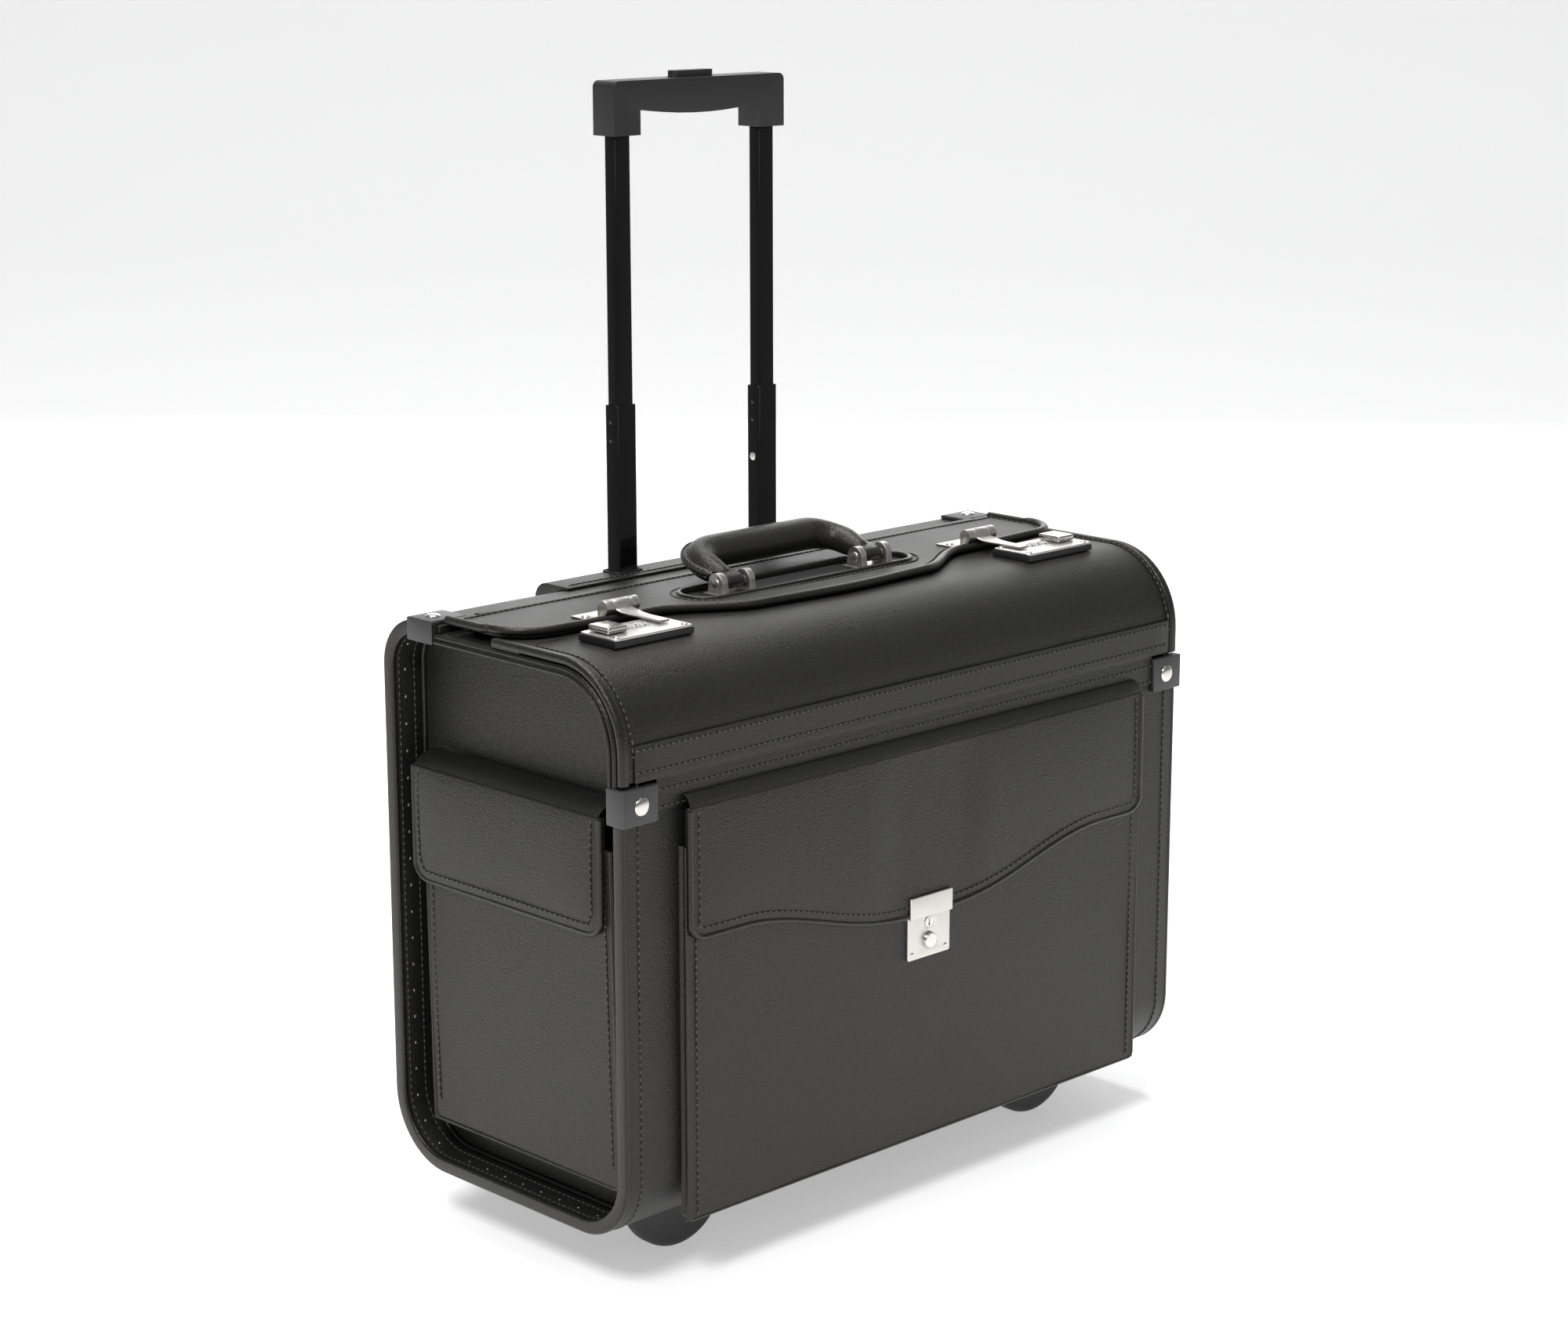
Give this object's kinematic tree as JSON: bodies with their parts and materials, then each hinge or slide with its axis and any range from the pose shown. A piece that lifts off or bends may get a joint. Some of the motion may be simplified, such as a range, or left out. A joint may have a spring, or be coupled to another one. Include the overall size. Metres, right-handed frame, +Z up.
{
  "type": "pilot rolling flight case",
  "caption": "Black leatherette pilot's flight case with a bowed front lid, locks, padded handle, outside pockets, rear wheels and a telescopic trolley.",
  "frame": {"origin": "centre of the bounding box's underside, on the floor between the wheels and feet", "axes": "+X along the case to the viewer's right, -Y to the front pocket, +Z up along the trolley"},
  "size_m": [0.463, 0.223, 0.652],
  "materials": {
    "covering": "satin grain",
    "black_plastic": "matt",
    "nickel": "satin nickel plate",
    "black_lacquer": "gloss",
    "rubber": "matt"
  },
  "bodies": {
    "case": {"front_wall": "covering", "base_panel": "covering", "rear_wall": "covering", "end_rims": "covering", "end_panels": "covering", "edge_bindings": "covering", "corner_clamps": "black_plastic", "clamp_rivets": "nickel", "rim_nails": "nickel", "hinge_band": "covering", "front_pocket": "covering", "flap_roots": "covering", "tuck_lock_plate": "nickel", "side_pockets": "covering", "trolley_cover": "covering", "outer_tubes": "black_plastic", "trolley_foot": "black_plastic", "lining_panel": "covering", "wheel_housings": "black_plastic", "axles": "nickel", "front_feet": "black_plastic", "base_screws": "nickel"},
    "front_lid": {"lid_shell": "covering", "lid_bindings": "covering", "lid_band": "covering", "lock_bases": "black_plastic", "lock_plates": "nickel", "lock_rivets": "nickel", "dial_axles": "nickel"},
    "left_dial_a": {"left_dial_1": "nickel"},
    "left_dial_b": {"left_dial_2": "nickel"},
    "left_dial_c": {"left_dial_3": "nickel"},
    "right_dial_a": {"right_dial_1": "nickel"},
    "right_dial_b": {"right_dial_2": "nickel"},
    "right_dial_c": {"right_dial_3": "nickel"},
    "left_slide_button": {"left_slider": "nickel"},
    "right_slide_button": {"right_slider": "nickel"},
    "rear_flap": {"flap_panel": "covering", "flap_binding": "covering", "hasp_hinges": "nickel", "handle_plate": "nickel", "handle_brackets": "nickel"},
    "left_hasp_arm": {"left_hasp": "nickel"},
    "right_hasp_arm": {"right_hasp": "nickel"},
    "carry_handle": {"handle_pins": "nickel", "handle_grip": "covering"},
    "pocket_flap": {"front_flap": "covering", "tuck_hasp": "nickel"},
    "pocket_button": {"tuck_button": "nickel"},
    "pocket_key": {"key_barrel": "nickel"},
    "left_flap": {"left_side_flap": "covering"},
    "right_flap": {"right_side_flap": "covering"},
    "trolley_middle": {"middle_tubes": "black_lacquer"},
    "trolley_inner": {"inner_tubes": "black_lacquer", "trolley_grip": "black_plastic"},
    "trolley_release": {"trolley_button": "black_plastic"},
    "left_wheel": {"left_hub": "black_plastic", "left_tyre": "rubber"},
    "right_wheel": {"right_hub": "black_plastic", "right_tyre": "rubber"}
  },
  "joints": [
    {"name": "flap_hinge", "type": "hinge", "parent": "case", "child": "rear_flap", "pos_m": [0, 0.051, 0.3575], "axis": [-1, 0, 0], "range_deg": [0, 80]},
    {"name": "lid_hinge", "type": "hinge", "parent": "case", "child": "front_lid", "pos_m": [0, -0.1015, 0.294], "axis": [1, 0, 0], "range_deg": [0, 53]},
    {"name": "left_dial_a_turn", "type": "hinge", "parent": "front_lid", "child": "left_dial_a", "pos_m": [-0.172, -0.041, 0.3597], "axis": [1, 0, 0], "continuous": true},
    {"name": "left_dial_b_turn", "type": "hinge", "parent": "front_lid", "child": "left_dial_b", "pos_m": [-0.166, -0.041, 0.3597], "axis": [1, 0, 0], "continuous": true},
    {"name": "left_dial_c_turn", "type": "hinge", "parent": "front_lid", "child": "left_dial_c", "pos_m": [-0.16, -0.041, 0.3597], "axis": [1, 0, 0], "continuous": true},
    {"name": "left_slider_travel", "type": "slide", "parent": "front_lid", "child": "left_slide_button", "axis": [-1, 0, 0], "range_m": [0, 0.0045], "stiffness_N_per_m": 150},
    {"name": "left_hasp_hinge", "type": "hinge", "parent": "rear_flap", "child": "left_hasp_arm", "pos_m": [-0.1485, -0.009, 0.3662], "axis": [-1, 0, 0], "range_deg": [0, 140]},
    {"name": "right_dial_a_turn", "type": "hinge", "parent": "front_lid", "child": "right_dial_a", "pos_m": [0.172, -0.041, 0.3597], "axis": [1, 0, 0], "continuous": true},
    {"name": "right_dial_b_turn", "type": "hinge", "parent": "front_lid", "child": "right_dial_b", "pos_m": [0.166, -0.041, 0.3597], "axis": [1, 0, 0], "continuous": true},
    {"name": "right_dial_c_turn", "type": "hinge", "parent": "front_lid", "child": "right_dial_c", "pos_m": [0.16, -0.041, 0.3597], "axis": [1, 0, 0], "continuous": true},
    {"name": "right_slider_travel", "type": "slide", "parent": "front_lid", "child": "right_slide_button", "axis": [1, 0, 0], "range_m": [0, 0.0045], "stiffness_N_per_m": 150},
    {"name": "right_hasp_hinge", "type": "hinge", "parent": "rear_flap", "child": "right_hasp_arm", "pos_m": [0.1485, -0.009, 0.3662], "axis": [-1, 0, 0], "range_deg": [0, 140]},
    {"name": "handle_hinge", "type": "hinge", "parent": "rear_flap", "child": "carry_handle", "pos_m": [0, -0.004, 0.366], "axis": [-1, 0, 0], "range_deg": [-110, 0]},
    {"name": "pocket_flap_hinge", "type": "hinge", "parent": "case", "child": "pocket_flap", "pos_m": [0, -0.1088, 0.2765], "axis": [-1, 0, 0], "range_deg": [0, 85]},
    {"name": "pocket_button_press", "type": "slide", "parent": "case", "child": "pocket_button", "axis": [0, 1, 0], "range_m": [0, 0.0025], "stiffness_N_per_m": 300},
    {"name": "pocket_key_turn", "type": "hinge", "parent": "case", "child": "pocket_key", "pos_m": [0, -0.108, 0.171], "axis": [0, 1, 0], "range_deg": [0, 90]},
    {"name": "left_flap_hinge", "type": "hinge", "parent": "case", "child": "left_flap", "pos_m": [-0.22565, 0, 0.2725], "axis": [0, 1, 0], "range_deg": [0, 95]},
    {"name": "right_flap_hinge", "type": "hinge", "parent": "case", "child": "right_flap", "pos_m": [0.22565, 0, 0.2725], "axis": [0, -1, 0], "range_deg": [0, 95]},
    {"name": "trolley_middle_slide", "type": "slide", "parent": "case", "child": "trolley_middle", "axis": [0, 0, 1], "range_m": [-0.099, 0.125]},
    {"name": "trolley_inner_slide", "type": "slide", "parent": "trolley_middle", "child": "trolley_inner", "axis": [0, 0, 1], "range_m": [-0.157, 0.08]},
    {"name": "trolley_release_press", "type": "slide", "parent": "trolley_inner", "child": "trolley_release", "axis": [0, 0, -1], "range_m": [0, 0.004], "stiffness_N_per_m": 400},
    {"name": "left_wheel_spin", "type": "hinge", "parent": "case", "child": "left_wheel", "pos_m": [-0.16, 0.0835, 0.028], "axis": [1, 0, 0], "continuous": true},
    {"name": "right_wheel_spin", "type": "hinge", "parent": "case", "child": "right_wheel", "pos_m": [0.16, 0.0835, 0.028], "axis": [1, 0, 0], "continuous": true}
  ],
  "couplings": [
    {"joint": "lid_hinge", "follows": "flap_hinge", "ratio": 0.65}
  ]
}
